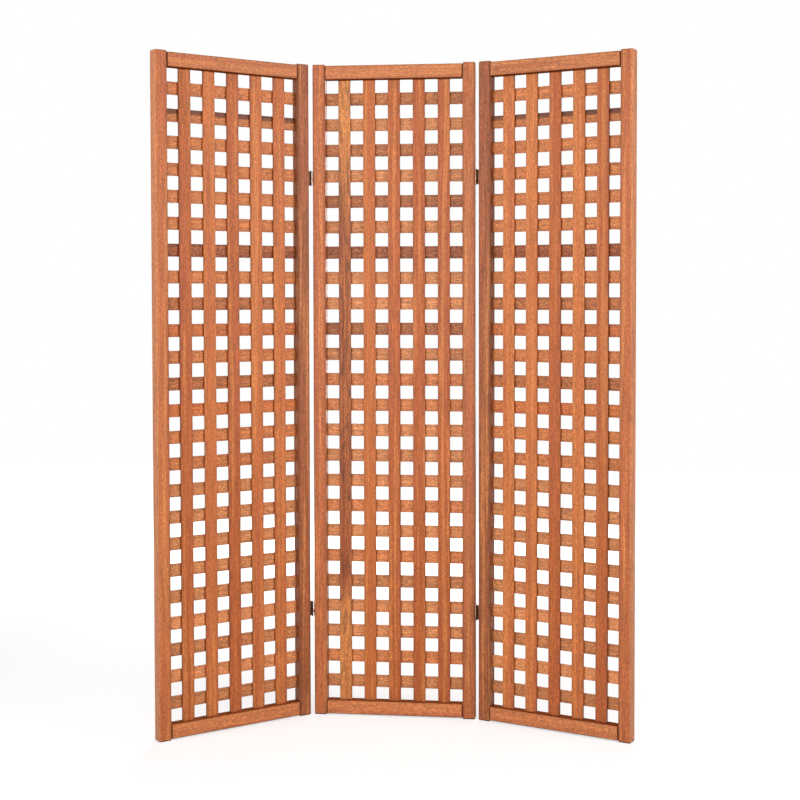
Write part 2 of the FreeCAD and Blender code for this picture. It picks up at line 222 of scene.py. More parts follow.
class ScreenWood(bpy.types.PropertyGroup):
    """Colours and grain of the boards."""

    upright_colour: colour_property("Uprights", "Wood of the upright slats", (0.497, 0.136, 0.031))
    cross_colour: colour_property("Cross slats", "Wood of most cross slats", (0.55, 0.178, 0.053))
    centre_colour: colour_property(
        "Centre cross slats", "Wood of most cross slats in the centre panel", (0.555, 0.210, 0.075)
    )
    deep_colour: colour_property("Deep boards", "Wood of the deepest cross slats", (0.255, 0.070, 0.022))
    pale_colour: colour_property("Pale boards", "Wood of the palest cross slats", (0.70, 0.262, 0.098))
    stile_colour: colour_property("Stiles", "Wood of the stiles", (0.48, 0.132, 0.037))
    rail_colour: colour_property("Rails", "Wood of the rails", (0.51, 0.165, 0.055))
    red_tint: colour_property("Reddish slats", "How reddish cross slats are tinted", (1.0, 0.85, 0.74))
    band_colour: colour_property("Band", "Dark band along a cross slat's upper edge", (0.12, 0.032, 0.010))
    streak_colour: colour_property("Streaks", "Golden streaks along the grain", (0.60, 0.210, 0.060))
    heart_colour: colour_property("Heartwood", "Reddish streaks along the grain", (0.42, 0.100, 0.036))
    # Painted sheen: the paler colour on the screen's outer sides
    worn_colour: colour_property("Sheen on outer sides", "Paler wood on the screen's outer sides", (0.47, 0.165, 0.062))
    # Painted shade in corners and joints, together with the dark joint lines: its darkest colour, its tint
    # and its strength
    dark_joint_and_shade_colour: colour_property(
        "Corners", "Painted shade and dark joint lines deep in corners", (0.030, 0.008, 0.003)
    )
    dark_joint_and_shade_tint: colour_property("Corner tint", "How painted shade and dark joints in corners tint the wood", (0.30, 0.13, 0.05))
    dowel_colour: colour_property("Dowels", "Plain beech of the dowels", (0.60, 0.42, 0.24))
    dark_joint_and_shade_strength: share_property("Corner shade", "How dark corners and joints are", 0.92)
    edge_shade: share_property("Edge shade", "How much darker a board is along its open edges", 0.26)
    roughness: share_property("Roughness", "Middle roughness of the oiled wood", 0.50)
    gloss: share_property("Gloss", "How strongly the oiled wood shines", 0.35)
    relief: FloatProperty(
        name="Relief", description="Depth of the open grain", unit="LENGTH", min=0.0, default=0.0002
    )


class ScreenHinges(bpy.types.PropertyGroup):
    """Finish of the hinges."""

    # The knuckles' near-black colour is dark bronze, made near black as painted shade along the hinge
    knuckle_colour: colour_property("Knuckles", "Dark bronze and painted shade of the knuckles and pins", (0.040, 0.014, 0.005))
    plate_colour: colour_property("Plates", "Antique brass of the leaves and links", (0.40, 0.235, 0.155))
    worn_colour: colour_property("Worn metal", "Brass that shows through at the edges", (0.18, 0.09, 0.045))
    roughness: share_property("Roughness", "Middle roughness of the metal", 0.42)
    easing: FloatProperty(
        name="Easing", description="Width of the eased edges", unit="LENGTH", min=0.0, default=0.00018
    )


class ScreenStage(bpy.types.PropertyGroup):
    """Camera, lights and floor."""

    camera_place: FloatVectorProperty(
        name="Camera", description="Camera from the foot of the centre panel's front", size=3,
        unit="LENGTH", subtype="TRANSLATION", default=(0.683, -3.948, 1.167),
    )
    camera_turn: FloatProperty(
        name="Turn", description="Camera's turn towards -X", subtype="ANGLE", default=math.radians(6.773)
    )
    camera_tilt: FloatProperty(
        name="Tilt", description="Camera's tilt below level", subtype="ANGLE", default=math.radians(2.067)
    )
    lens: FloatProperty(name="Lens", description="Focal length", unit="CAMERA", default=65.63)
    shift: FloatVectorProperty(
        name="Shift", description="Shift of the picture, as shares of its width", size=2,
        default=(-0.0888, -0.0649),
    )
    left_light: power_property("Left light", "Power of the left light", 58.0)
    right_light: power_property("Right light", "Power of the right light", 83.0)
    front_light: power_property("Front light", "Power of the front light", 86.0)
    back_light: power_property("Back light", "Power of the light behind", 130.0)
    surround: FloatProperty(name="Surround", description="Level of the light from all round", default=0.12)
    floor_colour: colour_property("Floor", "Pale floor", (0.5, 0.5, 0.5))


class NodeSheet:
    """A node tree that grows to the right, one node for each call."""

    def __init__(self, tree):
        self.tree = tree
        self.count = 0

    def add(self, kind, **settings):
        node = self.tree.nodes.new(kind)
        node.location = (self.count * NODE_SPACING, 0.0)
        self.count += 1
        for name, value in settings.items():
            setattr(node, name, value)
        return node

    def feed(self, node, socket, value):
        """Links a socket's value into an input, or writes a plain value there."""
        if isinstance(value, bpy.types.NodeSocket):
            self.tree.links.new(value, node.inputs[socket])
        else:
            node.inputs[socket].default_value = value

    def maths(self, operation, *terms, clamp=False):
        node = self.add("ShaderNodeMath", operation=operation, use_clamp=clamp)
        for number, term in enumerate(terms):
            self.feed(node, number, term)
        return node.outputs[0]

    def vector(self, operation, *terms):
        node = self.add("ShaderNodeVectorMath", operation=operation)
        for number, term in enumerate(terms):
            self.feed(node, number, term)
        return node.outputs[0]

    def joined(self, along, across, through):
        node = self.add("ShaderNodeCombineXYZ")
        for number, value in enumerate((along, across, through)):
            self.feed(node, number, value)
        return node.outputs[0]

    def parts(self, vector):
        node = self.add("ShaderNodeSeparateXYZ")
        self.feed(node, 0, vector)
        return node.outputs

    def noise(self, place, size, detail=MIDDLING):
        """Noise whose marks have the given length along the board and width across it."""
        length, width = size
        stretched = self.vector("DIVIDE", place, (length, width, width))
        node = self.add("ShaderNodeTexNoise", noise_dimensions="3D")
        self.feed(node, "Vector", stretched)
        self.feed(node, "Scale", 1.0)
        self.feed(node, "Detail", detail)
        return node.outputs[0]

    def swing(self, value, strength):
        """A factor round 1 that follows noise."""
        away = self.maths("SUBTRACT", value, NOISE_MIDDLE)
        return self.maths("MULTIPLY_ADD", away, strength, 1.0)

    def span(self, value, low, high, start=0.0, end=1.0):
        """The value eased from start to end as it goes from low to high."""
        node = self.add("ShaderNodeMapRange", interpolation_type="SMOOTHSTEP")
        for number, term in enumerate((value, low, high, start, end)):
            self.feed(node, number, term)
        return node.outputs[0]

    def mix(self, share, first, second, blend_type="MIX"):
        node = self.add("ShaderNodeMix", data_type="RGBA", blend_type=blend_type)
        self.feed(node, MIX_SHARE, share)
        self.feed(node, MIX_FIRST, first)
        self.feed(node, MIX_SECOND, second)
        return node.outputs[MIX_RESULT]

    def finish(self, shader, kind="ShaderNodeOutputMaterial"):
        """Gives the tree its output."""
        self.feed(self.add(kind), "Surface", shader.outputs[0])


def opaque(colour):
    """A colour property as the four numbers that a colour socket takes."""
    return (*colour, 1.0)


def scaled(colour, factor):
    return [factor * part for part in colour]


def tinted(colour, tint):
    return [own * share for own, share in zip(colour, tint)]


GRAIN_INPUTS = (
    ("Board", "NodeSocketVector"),
    ("Piece", "NodeSocketFloat"),
    ("Colour", "NodeSocketColor"),
    ("Streaks", "NodeSocketFloat"),
    ("Ribbons", "NodeSocketFloat"),
    ("Lines", "NodeSocketFloat"),
    ("Flecks", "NodeSocketFloat"),
    ("Figure", "NodeSocketFloat"),
    ("Half width", "NodeSocketFloat"),
    ("Edges", "NodeSocketFloat"),
    ("Outer sheen", "NodeSocketFloat"),
    ("Joint shade", "NodeSocketFloat"),
)
GRAIN_OUTPUTS = (
    ("Colour", "NodeSocketColor"),
    ("Roughness", "NodeSocketFloat"),
    ("Gloss", "NodeSocketFloat"),
    ("Height", "NodeSocketFloat"),
)


def occlusion_shade_share(sheet):
    """How much painted shade a place gets from nearby faces: 0 on open faces, and 1 deep in a corner or a
    joint.
    """
    openness = sheet.add("ShaderNodeAmbientOcclusion", samples=CORNER_SAMPLES)
    sheet.feed(openness, "Distance", CORNER_REACH)
    return sheet.span(openness.outputs["AO"], CORNER_OPEN, CORNER_SHUT)


def grain_group(wood):
    """The grain pattern that every board shares.

    Board is the place on the board: along the grain, across it and through it. Piece shifts the
    pattern, so that no two boards look alike.
    """
    group = bpy.data.node_groups.new(GRAIN_NAME, "ShaderNodeTree")
    for name, kind in GRAIN_INPUTS:
        group.interface.new_socket(name, in_out="INPUT", socket_type=kind)
    for name, kind in GRAIN_OUTPUTS:
        group.interface.new_socket(name, in_out="OUTPUT", socket_type=kind)
    sheet = NodeSheet(group)
    given = sheet.add("NodeGroupInput").outputs
    shift = sheet.vector("MULTIPLY", given["Piece"], PIECE_SHIFT)
    place = sheet.vector("ADD", given["Board"], shift)
    sway = sheet.maths("SUBTRACT", sheet.noise(place, SWAY_SIZE), NOISE_MIDDLE)
    sideways = sheet.maths("MULTIPLY", sway, SWAY_WIDTH)
    place = sheet.vector("ADD", place, sheet.joined(0.0, sideways, 0.0))

    streaks = sheet.noise(place, STREAK_SIZE)
    golden = sheet.maths("MULTIPLY", sheet.span(streaks, *GOLDEN_LEVELS), given["Streaks"])
    reddish = sheet.maths("MULTIPLY", sheet.span(streaks, *REDDISH_LEVELS), given["Streaks"])
    colour = sheet.mix(golden, given["Colour"], opaque(wood.streak_colour))
    colour = sheet.mix(reddish, colour, opaque(wood.heart_colour))
    across = sheet.maths("ABSOLUTE", sheet.parts(given["Board"])[1])
    # Painted sheen on the screen's outer sides: the wood turns paler towards the outer edge
    inside = sheet.maths("SUBTRACT", given["Half width"], across)
    worn = sheet.maths("MULTIPLY", sheet.span(inside, SHEEN_BAND, 0.0), given["Outer sheen"])
    colour = sheet.mix(worn, colour, opaque(wood.worn_colour))

    ribbons = sheet.noise(place, RIBBON_SIZE)
    lines = sheet.noise(place, LINE_SIZE, detail=FINE)
    flecks = sheet.noise(place, FLECK_SIZE, detail=COARSE)
    pores = sheet.span(sheet.noise(place, PORE_SIZE, detail=COARSE), *PORE_LEVELS)
    rings = sheet.maths("MULTIPLY", sheet.noise(place, FIGURE_SIZE, detail=COARSE), FIGURE_RINGS * math.tau)

    shade = sheet.swing(ribbons, given["Ribbons"])
    shade = sheet.maths("MULTIPLY", shade, sheet.swing(lines, given["Lines"]))
    shade = sheet.maths("MULTIPLY", shade, sheet.swing(flecks, given["Flecks"]))
    ring = sheet.span(sheet.maths("SINE", rings), *RING_LEVELS)
    ring_shade = sheet.maths("MULTIPLY", ring, given["Figure"])
    shade = sheet.maths("MULTIPLY", shade, sheet.maths("SUBTRACT", 1.0, ring_shade))
    shade = sheet.maths("MULTIPLY", shade, sheet.maths("MULTIPLY_ADD", pores, -PORE_SHADE, 1.0))

    # Painted shade along the board's open edges
    edge = sheet.maths("MULTIPLY", sheet.span(inside, EDGE_BAND, 0.0), given["Edges"])
    shade = sheet.maths("MULTIPLY", shade, sheet.maths("MULTIPLY_ADD", edge, -wood.edge_shade, 1.0))
    colour = sheet.vector("MULTIPLY", colour, sheet.joined(shade, shade, shade))
    # Painted shade in corners and joints, with the dark joint lines, darkens the wood and takes away its
    # shine
    corner = sheet.maths("MAXIMUM", occlusion_shade_share(sheet), given["Joint shade"])
    corner = sheet.maths("MULTIPLY", corner, wood.dark_joint_and_shade_strength)
    colour = sheet.mix(corner, colour, opaque(wood.dark_joint_and_shade_tint), blend_type="MULTIPLY")
    colour = sheet.mix(sheet.span(corner, *PIT_SHARES), colour, opaque(wood.dark_joint_and_shade_colour))
    gloss = sheet.span(corner, DULL_SHARE, 0.0, 0.0, wood.gloss)

    middle = wood.roughness + LINE_ROUGHNESS / 2.0
    roughness = sheet.maths("MULTIPLY_ADD", lines, -LINE_ROUGHNESS, middle)
    roughness = sheet.maths("MULTIPLY_ADD", pores, PORE_ROUGHNESS, roughness, clamp=True)
    height = sheet.maths("MULTIPLY_ADD", lines, LINE_RELIEF, sheet.maths("MULTIPLY", flecks, FLECK_RELIEF))
    height = sheet.maths("SUBTRACT", height, pores)
    result = sheet.add("NodeGroupOutput")
    for name, socket in (("Colour", colour), ("Roughness", roughness), ("Gloss", gloss), ("Height", height)):
        sheet.feed(result, name, socket)
    return group


def grain():
    """The shared grain pattern, made once."""
    return bpy.data.node_groups.get(GRAIN_NAME) or grain_group(bpy.context.scene.screen_wood)


def panel_turn(panel):
    """How far a panel stands turned about the upright from flat, in radians."""
    side = panel.split("_")[0]
    for joint in frame["joints"]:
        if joint["name"] == f"{side}_forward_fold":
            return -math.radians(joint["range_deg"][0]) * joint["axis"][2]
    return 0.0


def own_box(node, turn):
    """A node's lowest and highest corner in the directions of its own panel."""
    straighten = Matrix.Rotation(-turn, 3, "Z")
    places = [straighten @ vertex.co for vertex in frame["nodes"][node].data.vertices]
    low = Vector([min(place[axis] for place in places) for axis in range(3)])
    high = Vector([max(place[axis] for place in places) for axis in range(3)])
    return low, high


def new_material(name):
    """A material with an empty tree, and the sheet that fills it."""
    material = bpy.data.materials.new(name)
    material.use_nodes = True
    material.node_tree.nodes.clear()
    return material, NodeSheet(material.node_tree)


def dress(node, material):
    """Gives a CAD node its material."""
    slots = frame["nodes"][node].material_slots
    if not slots:
        raise RuntimeError(f"{node} has no material slot")
    for slot in slots:
        slot.material = material


def own_place(sheet, turn, centre):
    """The place on a board in its panel's own directions, from the board's centre."""
    coordinates = sheet.add("ShaderNodeTexCoord")
    mapping = sheet.add("ShaderNodeMapping", vector_type="TEXTURE")
    sheet.feed(mapping, "Vector", coordinates.outputs["Object"])
    sheet.feed(mapping, "Location", Matrix.Rotation(turn, 3, "Z") @ centre)
    sheet.feed(mapping, "Rotation", (0.0, 0.0, turn))
    return sheet.parts(mapping.outputs[0])


def wood_shader(sheet, board, piece, colour, looks, half_width):
    """The grain pattern on a board, with its shader and output."""
    wood = bpy.context.scene.screen_wood
    pattern = sheet.add("ShaderNodeGroup", node_tree=grain())
    for name, value in (("Board", board), ("Piece", piece), ("Colour", colour), ("Half width", half_width)):
        sheet.feed(pattern, name, value)
    for name, value in looks.items():
        sheet.feed(pattern, name, value)
    bump = sheet.add("ShaderNodeBump")
    sheet.feed(bump, "Height", pattern.outputs["Height"])
    sheet.feed(bump, "Distance", wood.relief)
    shader = sheet.add("ShaderNodeBsdfPrincipled")
    sheet.feed(shader, "Base Color", pattern.outputs["Colour"])
    sheet.feed(shader, "Roughness", pattern.outputs["Roughness"])
    sheet.feed(shader, "Normal", bump.outputs[0])
    sheet.feed(shader, "Specular IOR Level", pattern.outputs["Gloss"])
    sheet.finish(shader)


# Where a cosine along the uprights, 1 amid a hole and -1 amid a crossing, passes a hole's edge
HOLE_WAVE = (-0.25, 0.15)

# The stiles with an open side, and the way along the panel that it looks
OUTER_WAYS = {"left_wing_free_stile": -1.0, "right_wing_free_stile": 1.0}


def beside_holes(sheet, height):
    """1 beside the lattice's holes and 0 at its crossings, by the height from the panel's middle.

    A panel has an even number of cross slats, so its middle is level with the middle of a hole.
    """
    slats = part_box("centre_panel_cross_slats")
    spacing = (slats[1].z - slats[0].z - CROSS_SLAT_HEIGHT) / (CROSS_SLATS - 1)
    wave = sheet.maths("COSINE", sheet.maths("MULTIPLY", height, math.tau / spacing))
    return sheet.span(wave, *HOLE_WAVE)


def rail_joint_shade(sheet, node, x, z, half):
    """Where a rail is dark: a joint line at its ends beside the stiles, partly painted shadow, and painted
    shade along its lip towards the lattice.
    """
    inwards = 1.0 if "bottom" in node else -1.0
    end = sheet.span(sheet.maths("ABSOLUTE", x), half.x - RAIL_JOINT, half.x - RAIL_JOINT_CORE)
    height = sheet.maths("MULTIPLY", z, inwards)
    lip = sheet.span(height, half.z - RAIL_LIP, half.z - RAIL_LIP_CORE, 0.0, LIP_SHADE)
    return sheet.maths("MAXIMUM", end, lip)


def heart_share(sheet, x, z):
    """How much of the deepest upright's colour at a place is heartwood."""
    stretch = sheet.maths("MULTIPLY", sheet.span(z, *HEART_TOP), sheet.span(z, *HEART_FOOT))
    return sheet.maths("MULTIPLY", stretch, sheet.span(x, *HEART_ACROSS, HEART_RIGHT_SHARE, 1.0))


def board_wood(panel, node, number, colour, looks, upright=True, heart=None):
    """The wood of one board whose grain runs up, or along its panel."""
    turn = panel_turn(panel)
    low, high = own_box(node, turn)
    half = (high - low) / 2.0
    material, sheet = new_material(f"{node}_wood")
    x, y, z = own_place(sheet, turn, (low + high) / 2.0)
    board = sheet.joined(z, x, y) if upright else sheet.joined(x, z, y)
    half_width = half.x if upright else half.z
    if "Edges" not in looks:
        # Painted shadow of the top rail on the upright, just under the rail
        under_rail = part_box(f"{panel}_top_rail")[0].z - (low.z + high.z) / 2.0
        joint = sheet.span(z, under_rail - UNDER_RAIL, under_rail)
        looks = {**looks, "Edges": beside_holes(sheet, z), "Joint shade": joint}
    if node.endswith("_rail"):
        looks = {**looks, "Joint shade": rail_joint_shade(sheet, node, x, z, half)}
    # The free stiles' outer sides get painted sheen in place of painted edge shade
    if node in OUTER_WAYS:
        outer = sheet.span(sheet.maths("MULTIPLY", x, OUTER_WAYS[node]), -half_width / 2.0, half_width / 2.0)
        looks = {**looks, "Edges": sheet.maths("SUBTRACT", 1.0, outer), "Outer sheen": outer}
    own_colour = opaque(colour)
    if heart:
        own_colour = sheet.mix(heart_share(sheet, x, z), own_colour, opaque(heart))
    wood_shader(sheet, board, float(number), own_colour, looks, half_width)
    return material


# The first piece number of each kind of board, so that every board has its own place in the pattern
FIRST_PIECES = {"rail": 10, "upright": 20, "cross": 40, "dowel": 120}

# How strong each kind of mark is on each kind of board. The uprights' looks leave Edges out, because
# their edges get painted shade only beside the lattice's holes
STILE_LOOKS = {"Streaks": 0.60, "Ribbons": 0.7, "Lines": 0.9, "Flecks": 1.4, "Figure": 0.12, "Edges": 1.0}
RAIL_LOOKS = {"Streaks": 0.40, "Ribbons": 0.5, "Lines": 0.6, "Flecks": 1.5, "Figure": 0.08, "Edges": 0.6}
UPRIGHT_LOOKS = {"Streaks": 0.50, "Ribbons": 0.6, "Lines": 0.8, "Flecks": 1.2, "Figure": 0.08}
HEART_UPRIGHT_LOOKS = {"Streaks": 0.30, "Ribbons": 0.8, "Lines": 0.9, "Flecks": 1.5, "Figure": 0.35}
CROSS_LOOKS = {"Streaks": 0.20, "Ribbons": 0.5, "Lines": 0.7, "Flecks": 1.7, "Figure": 0.10, "Edges": 0.8}
DOWEL_LOOKS = {"Streaks": 0.0, "Ribbons": 0.3, "Lines": 0.5, "Flecks": 0.3, "Figure": 0.0, "Edges": 0.0}

# How much lighter or darker than the common colour a board is, by its tone or its place
UPRIGHT_TINTS = {
    DUSKY: (0.84, 0.73, 0.62), PLAIN: (1.0, 1.0, 1.0), LIGHT: (1.07, 1.12, 1.12), DEEP: (1.25, 1.72, 2.50)
}
HEART_TINT = (0.46, 0.32, 0.22)
UPRIGHT_PANEL_TINTS = {
    "left_wing": (0.97, 0.97, 0.97), "centre_panel": (0.88, 0.83, 0.62), "right_wing": (1.0, 1.0, 1.0)
}
# The hinge stiles are darker as painted shade, where the light falls off towards the hinges
STILE_LEVELS = {"free": 0.94, "hinge": 0.57, "left": 0.92, "right": 0.82}
RAIL_DEPTHS = {"bottom": 1.08, "top": 0.94}


def tone_of(number, tones):
    """How deep the wood of a board is, by its number."""
    for tone, numbers in tones.items():
        if number in numbers:
            return tone
    return PLAIN


def stile_names(panel):
    """A panel's stiles, from the left."""
    return {
        "left_wing": ("left_wing_free_stile", "left_wing_hinge_stile"),
        "centre_panel": ("centre_panel_left_stile", "centre_panel_right_stile"),
        "right_wing": ("right_wing_hinge_stile", "right_wing_free_stile"),
    }[panel]


class SCREEN_OT_dress_stiles(bpy.types.Operator):
    """Give the stiles their wood, with the grain running up"""

    bl_idname = "screen.dress_stiles"
    bl_label = "Dress the stiles"

    def execute(self, context):
        colour = context.scene.screen_wood.stile_colour
        for number, panel in enumerate(PANELS):
            for place, node in enumerate(stile_names(panel)):
                own_colour = scaled(colour, STILE_LEVELS[node.split("_")[-2]])
                dress(node, board_wood(panel, node, 2 * number + place, own_colour, STILE_LOOKS))
        return {"FINISHED"}


class SCREEN_OT_dress_rails(bpy.types.Operator):
    """Give the rails their wood, with the grain running along the panel"""

    bl_idname = "screen.dress_rails"
    bl_label = "Dress the rails"

    def execute(self, context):
        colour = context.scene.screen_wood.rail_colour
        for number, panel in enumerate(PANELS):
            for place, (end, depth) in enumerate(RAIL_DEPTHS.items()):
                node = f"{panel}_{end}_rail"
                piece = FIRST_PIECES["rail"] + 2 * number + place
                dress(node, board_wood(panel, node, piece, scaled(colour, depth), RAIL_LOOKS, upright=False))
        return {"FINISHED"}


class SCREEN_OT_dress_uprights(bpy.types.Operator):
    """Give the upright slats their wood, with the grain running up"""

    bl_idname = "screen.dress_uprights"
    bl_label = "Dress the upright slats"

    def execute(self, context):
        colour = context.scene.screen_wood.upright_colour
        for place, panel in enumerate(PANELS):
            for number in range(1, UPRIGHT_SLATS + 1):
                tone = tone_of(number, UPRIGHT_TONES[panel])
                node = f"{panel}_upright_slat_{number}"
                own_colour = tinted(tinted(colour, UPRIGHT_TINTS[tone]), UPRIGHT_PANEL_TINTS[panel])
                heart = tinted(colour, HEART_TINT) if tone == DEEP else None
                looks = HEART_UPRIGHT_LOOKS if heart else UPRIGHT_LOOKS
                piece = FIRST_PIECES["upright"] + UPRIGHT_SLATS * place + number
                dress(node, board_wood(panel, node, piece, own_colour, looks, heart=heart))
        return {"FINISHED"}


def row_traits(sheet, panel, row):
    """A cross slat's depth, redness and banding from its row, as the channels of a stepped ramp."""
    ramp = sheet.add("ShaderNodeValToRGB")
    ramp.color_ramp.interpolation = "CONSTANT"
    stops = ramp.color_ramp.elements
    stops.remove(stops[1])
    for place in range(CROSS_SLATS):
        number = CROSS_SLATS - place
        stop = stops[0] if place == 0 else stops.new(place / CROSS_SLATS)
        reddish = float(number in REDDISH_ROWS[panel])
        banded = float(number in BANDED_ROWS[panel])
        stop.color = (tone_of(number, ROW_TONES[panel]), reddish, banded, 1.0)
    middle_of_step = sheet.maths("ADD", row, 0.5)
    sheet.feed(ramp, "Fac", sheet.maths("DIVIDE", middle_of_step, float(CROSS_SLATS)))
    return sheet.parts(ramp.outputs[0])


def cross_slat_wood(panel, node, number):
    """The wood of a panel's cross slats: every slat has its own stretch of grain and its own tone."""
    wood = bpy.context.scene.screen_wood
    turn = panel_turn(panel)
    low, high = own_box(node, turn)
    spacing = (high.z - low.z - CROSS_SLAT_HEIGHT) / (CROSS_SLATS - 1)
    material, sheet = new_material(f"{node}_wood")
    middle = (low + high) / 2.0
    x, y, z = own_place(sheet, turn, Vector((middle.x, middle.y, low.z + CROSS_SLAT_HEIGHT / 2.0)))
    steps = sheet.maths("DIVIDE", z, spacing)
    row = sheet.maths("ROUND", steps)
    height = sheet.maths("MULTIPLY", sheet.maths("SUBTRACT", steps, row), spacing)
    board = sheet.joined(x, height, y)
    tone, reddish, banded = row_traits(sheet, panel, row)
    deeper = sheet.maths("MULTIPLY_ADD", tone, -1.0 / PLAIN, 1.0, clamp=True)
    paler = sheet.maths("MULTIPLY_ADD", tone, 1.0 / PLAIN, -1.0, clamp=True)
    like_centre = 1.0 if panel == "centre_panel" else sheet.maths("LESS_THAN", row, PALER_LOW_SLATS - 0.5)
    colour = sheet.mix(like_centre, opaque(wood.cross_colour), opaque(wood.centre_colour))
    colour = sheet.mix(deeper, colour, opaque(wood.deep_colour))
    colour = sheet.mix(paler, colour, opaque(wood.pale_colour))
    colour = sheet.mix(reddish, colour, opaque(wood.red_tint), blend_type="MULTIPLY")
    band = sheet.maths("MULTIPLY", banded, sheet.span(height, BAND_START, BAND_END))
    colour = sheet.mix(band, colour, opaque(wood.band_colour))
    piece = sheet.maths("ADD", row, float(number))
    looks = {**CROSS_LOOKS, "Flecks": sheet.maths("ADD", deeper, CROSS_LOOKS["Flecks"])}
    wood_shader(sheet, board, piece, colour, looks, CROSS_SLAT_HEIGHT / 2.0)
    return material


class SCREEN_OT_dress_cross_slats(bpy.types.Operator):
    """Give the cross slats their wood, each slat with its own grain and tone"""

    bl_idname = "screen.dress_cross_slats"
    bl_label = "Dress the cross slats"

    def execute(self, context):
        for place, panel in enumerate(PANELS):
            node = f"{panel}_cross_slats"
            dress(node, cross_slat_wood(panel, node, FIRST_PIECES["cross"] + CROSS_SLATS * place))
        return {"FINISHED"}


class SCREEN_OT_dress_dowels(bpy.types.Operator):
    """Give the dowels in the frame joints their wood"""

    bl_idname = "screen.dress_dowels"
    bl_label = "Dress the dowels"

    def execute(self, context):
        colour = context.scene.screen_wood.dowel_colour
        for place, panel in enumerate(PANELS):
            node = f"{panel}_rail_dowels"
            piece = FIRST_PIECES["dowel"] + place
            dress(node, board_wood(panel, node, piece, colour, DOWEL_LOOKS, upright=False))
        return {"FINISHED"}


# The metal's patina: the size of its clouds, the levels of noise between which they fade in, how much
# they roughen the metal, and how light they are beside the plates' and the knuckles' own colours
PATINA_SIZE = 0.005
PATINA_LEVELS = (0.50, 0.85)
PATINA_ROUGHNESS = 0.3
PLATE_CLOUDS = 0.4
KNUCKLE_CLOUDS = 2.5

# How the metal is tinted where it is seen at a grazing angle
METAL_EDGE_TINT = (0.5, 0.4, 0.3, 1.0)


def bronze(name, colour, cloud_colour):
    """Antique bronze with a cloudy patina."""
    hinges = bpy.context.scene.screen_hinges
    material, sheet = new_material(name)
    coordinates = sheet.add("ShaderNodeTexCoord").outputs["Object"]
    clouds = sheet.noise(coordinates, (PATINA_SIZE, PATINA_SIZE), detail=FINE)
    patina = sheet.mix(sheet.span(clouds, *PATINA_LEVELS), opaque(colour), opaque(cloud_colour))
    shader = sheet.add("ShaderNodeBsdfPrincipled")
    sheet.feed(shader, "Base Color", patina)
    sheet.feed(shader, "Metallic", 1.0)
    sheet.feed(shader, "Specular Tint", METAL_EDGE_TINT)
    smoothest = hinges.roughness - PATINA_ROUGHNESS / 2.0
    sheet.feed(shader, "Roughness", sheet.maths("MULTIPLY_ADD", clouds, PATINA_ROUGHNESS, smoothest))
    sheet.finish(shader)
    return material


WELD_DISTANCE = 0.00001
FLAT_ANGLE = math.radians(1.0)
EASED_ANGLE = math.radians(35.0)
EASING_SEGMENTS = 2

# How far from a pin's line the faces of its knuckles and heads lie at most
KNUCKLE_REACH = 0.0023
PLATE, EDGE, KNUCKLE = range(3)


def pin_places(node):
    """Where, in plan, the two pins of the hinge that a part belongs to stand."""
    side = node.split("_")[1]
    return [Vector(joint["pos_m"][:2]) for joint in frame["joints"] if joint["name"].startswith(f"{side}_")]


def darken_knuckles(piece, pins):
    """Gives a hinge part's knuckles and pin heads the near-black metal: dark bronze, made near black as
    painted shade along the hinge.
    """
    for face in piece.data.polygons:
        nearest = min((face.center.xy - pin).length for pin in pins)
        if face.material_index == PLATE and nearest < KNUCKLE_REACH:
            face.material_index = KNUCKLE


def hinge_part_names():
    """The plates, links and pins of the four hinges."""
    return [node for node in frame["nodes"] if node.startswith(("upper_", "lower_"))]


def copied_from(node):
    """A welded copy of a CAD node as a new piece on the same body."""
    solid = frame["nodes"][node]
    bpy.ops.object.select_all(action="DESELECT")
    solid.select_set(True)
    bpy.context.view_layer.objects.active = solid
    bpy.ops.object.duplicate()
    piece = bpy.context.active_object
    body = solid["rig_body"]
    del piece["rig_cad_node"]
    piece.name = f"{node}_eased"
    bpy.ops.object.mode_set(mode="EDIT")
    bpy.ops.mesh.select_all(action="SELECT")
    bpy.ops.mesh.remove_doubles(threshold=WELD_DISTANCE)
    bpy.ops.mesh.dissolve_limited(angle_limit=FLAT_ANGLE)
    bpy.ops.mesh.normals_make_consistent(inside=False)
    bpy.ops.object.mode_set(mode="OBJECT")
    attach(piece, body)
    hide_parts(node)
    return piece


class SCREEN_OT_ease_hinges(bpy.types.Operator):
    """Ease the edges of the hinges' parts, and give them dark knuckles, brass plates and worn edges"""

    bl_idname = "screen.ease_hinges"
    bl_label = "Ease the hinges"

    def execute(self, context):
        hinges = context.scene.screen_hinges
        plate = bronze("plate_brass", hinges.plate_colour, scaled(hinges.plate_colour, PLATE_CLOUDS))
        worn = bronze("worn_bronze", hinges.worn_colour, hinges.knuckle_colour)
        knuckle_clouds = scaled(hinges.knuckle_colour, KNUCKLE_CLOUDS)
        knuckle = bronze("knuckle_bronze", hinges.knuckle_colour, knuckle_clouds)
        for node in hinge_part_names():
            piece = copied_from(node)
            piece.data.materials.clear()
            for metal in (plate, worn, knuckle):
                piece.data.materials.append(metal)
            easing = piece.modifiers.new("eased edges", "BEVEL")
            easing.width = hinges.easing
            easing.segments = EASING_SEGMENTS
            easing.limit_method = "ANGLE"
            easing.angle_limit = EASED_ANGLE
            easing.material = EDGE
            bpy.ops.object.modifier_apply(modifier=easing.name)
            bpy.ops.object.shade_smooth_by_angle(angle=EASED_ANGLE)
            darken_knuckles(piece, pin_places(node))
        for node in frame["nodes"]:
            if node.endswith("_hinge_screws"):
                dress(node, plate)
        return {"FINISHED"}


